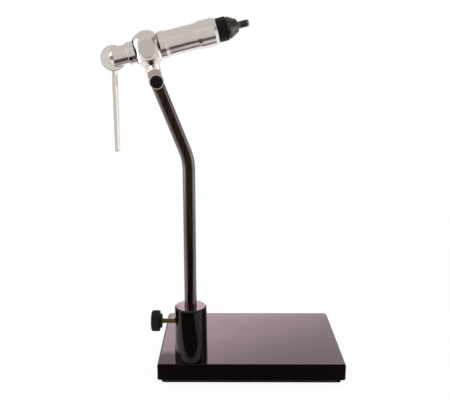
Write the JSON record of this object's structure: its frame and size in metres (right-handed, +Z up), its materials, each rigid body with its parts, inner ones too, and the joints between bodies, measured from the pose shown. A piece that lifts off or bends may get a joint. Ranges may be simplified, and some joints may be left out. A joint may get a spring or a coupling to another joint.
{
  "type": "fly tying vise",
  "caption": "Rotary fly tying vise: a tilting head with a cam-worked collet in its barrel, on a bent post in a round socket on a heavy pedestal base.",
  "frame": {"origin": "centre of the base pad's underside", "axes": "+Z up, +X from the lever end towards the jaws, +Y to the back"},
  "size_m": [0.1815, 0.1056, 0.2759],
  "materials": {
    "black_plate": "gloss black over steel",
    "rubber_pad": "speckled recycled rubber",
    "black_socket": "gloss black",
    "black_post": "gloss black oxide",
    "yellow_zinc": "yellow zinc plate",
    "black_knob": "matte black",
    "black_screw": "black oxide",
    "satin_silver": "satin turned",
    "brushed_disc": "brushed",
    "polished_lever": "polished",
    "black_washer": "black acetal",
    "plain_steel": "plain ground",
    "jaw_steel": "ground tool steel",
    "black_nose": "matte black oxide",
    "bronze": "sintered bronze",
    "nylon": "natural nylon"
  },
  "bodies": {
    "base": {"base_plate": "black_plate", "base_pad": "rubber_pad"},
    "socket": {"post_socket": "black_socket", "socket_bolt": "black_screw", "socket_washer": "plain_steel"},
    "clamp_tip": {"clamp_tip": "bronze"},
    "clamp_screw": {"clamp_screw": "yellow_zinc", "clamp_knob": "black_knob"},
    "post": {"post": "black_post", "pivot_screw": "black_screw", "pivot_washer": "black_washer"},
    "head": {"head_block": "satin_silver", "spindle_bushing": "bronze"},
    "brake": {"brake_plug": "nylon"},
    "tension_screw": {"tension_stud": "plain_steel", "tension_knob": "brushed_disc"},
    "barrel": {"spindle": "plain_steel", "barrel": "satin_silver", "rear_washer": "black_washer", "front_washer": "black_washer", "tail_block": "satin_silver", "tail_set_screw": "black_screw", "cam_pin": "plain_steel", "return_spring": "plain_steel", "nose_cone": "black_nose"},
    "cam": {"cam_disc": "brushed_disc", "cam_lever": "polished_lever"},
    "jaws": {"collet_jaws": "jaw_steel", "push_rod": "plain_steel"},
    "nose_ring": {"nose_ring": "black_nose"}
  },
  "joints": [
    {"name": "socket_swivel", "type": "hinge", "parent": "base", "child": "socket", "pos_m": [-0.0474, -0.0358, 0.0163], "axis": [0, 0, 1], "continuous": true},
    {"name": "post_height", "type": "slide", "parent": "socket", "child": "post", "axis": [0, 0, 1], "range_m": [-0.005, 0.014]},
    {"name": "clamp_slide", "type": "slide", "parent": "socket", "child": "clamp_tip", "axis": [-1, 0, 0], "range_m": [0, 0.0016]},
    {"name": "clamp_turn", "type": "hinge", "parent": "clamp_tip", "child": "clamp_screw", "pos_m": [-0.0474, -0.0358, 0.0462], "axis": [-1, 0, 0], "range_deg": [0, 720]},
    {"name": "head_tilt", "type": "hinge", "parent": "post", "child": "head", "pos_m": [-0.0696, -0.03813, 0.23046], "axis": [-0.1045, 0.9945, 0], "range_deg": [-35, 35]},
    {"name": "brake_slide", "type": "slide", "parent": "head", "child": "brake", "axis": [0.1045, -0.9945, 0], "range_m": [0, 0.0012]},
    {"name": "tension_turn", "type": "hinge", "parent": "brake", "child": "tension_screw", "pos_m": [-0.07538, -0.03874, 0.25344], "axis": [0.1045, -0.9945, 0], "range_deg": [0, 540]},
    {"name": "barrel_rotation", "type": "hinge", "parent": "head", "child": "barrel", "pos_m": [-0.07538, -0.03874, 0.25344], "axis": [0.9641, 0.1013, 0.2453], "continuous": true},
    {"name": "cam_turn", "type": "hinge", "parent": "barrel", "child": "cam", "pos_m": [-0.10006, -0.04133, 0.24716], "axis": [-0.1045, 0.9945, 0], "range_deg": [0, 100]},
    {"name": "jaws_slide", "type": "slide", "parent": "barrel", "child": "jaws", "axis": [0.9641, 0.1013, 0.2453], "range_m": [-0.00133, 0]},
    {"name": "ring_turn", "type": "hinge", "parent": "barrel", "child": "nose_ring", "pos_m": [-0.02274, -0.03321, 0.26683], "axis": [0.9641, 0.1013, 0.2453], "continuous": true}
  ],
  "couplings": [
    {"joint": "clamp_turn", "follows": "clamp_slide", "rad_per_m": 7854},
    {"joint": "tension_turn", "follows": "brake_slide", "rad_per_m": 7854},
    {"joint": "jaws_slide", "follows": "cam_turn", "m_per_rad": -0.00076366}
  ]
}
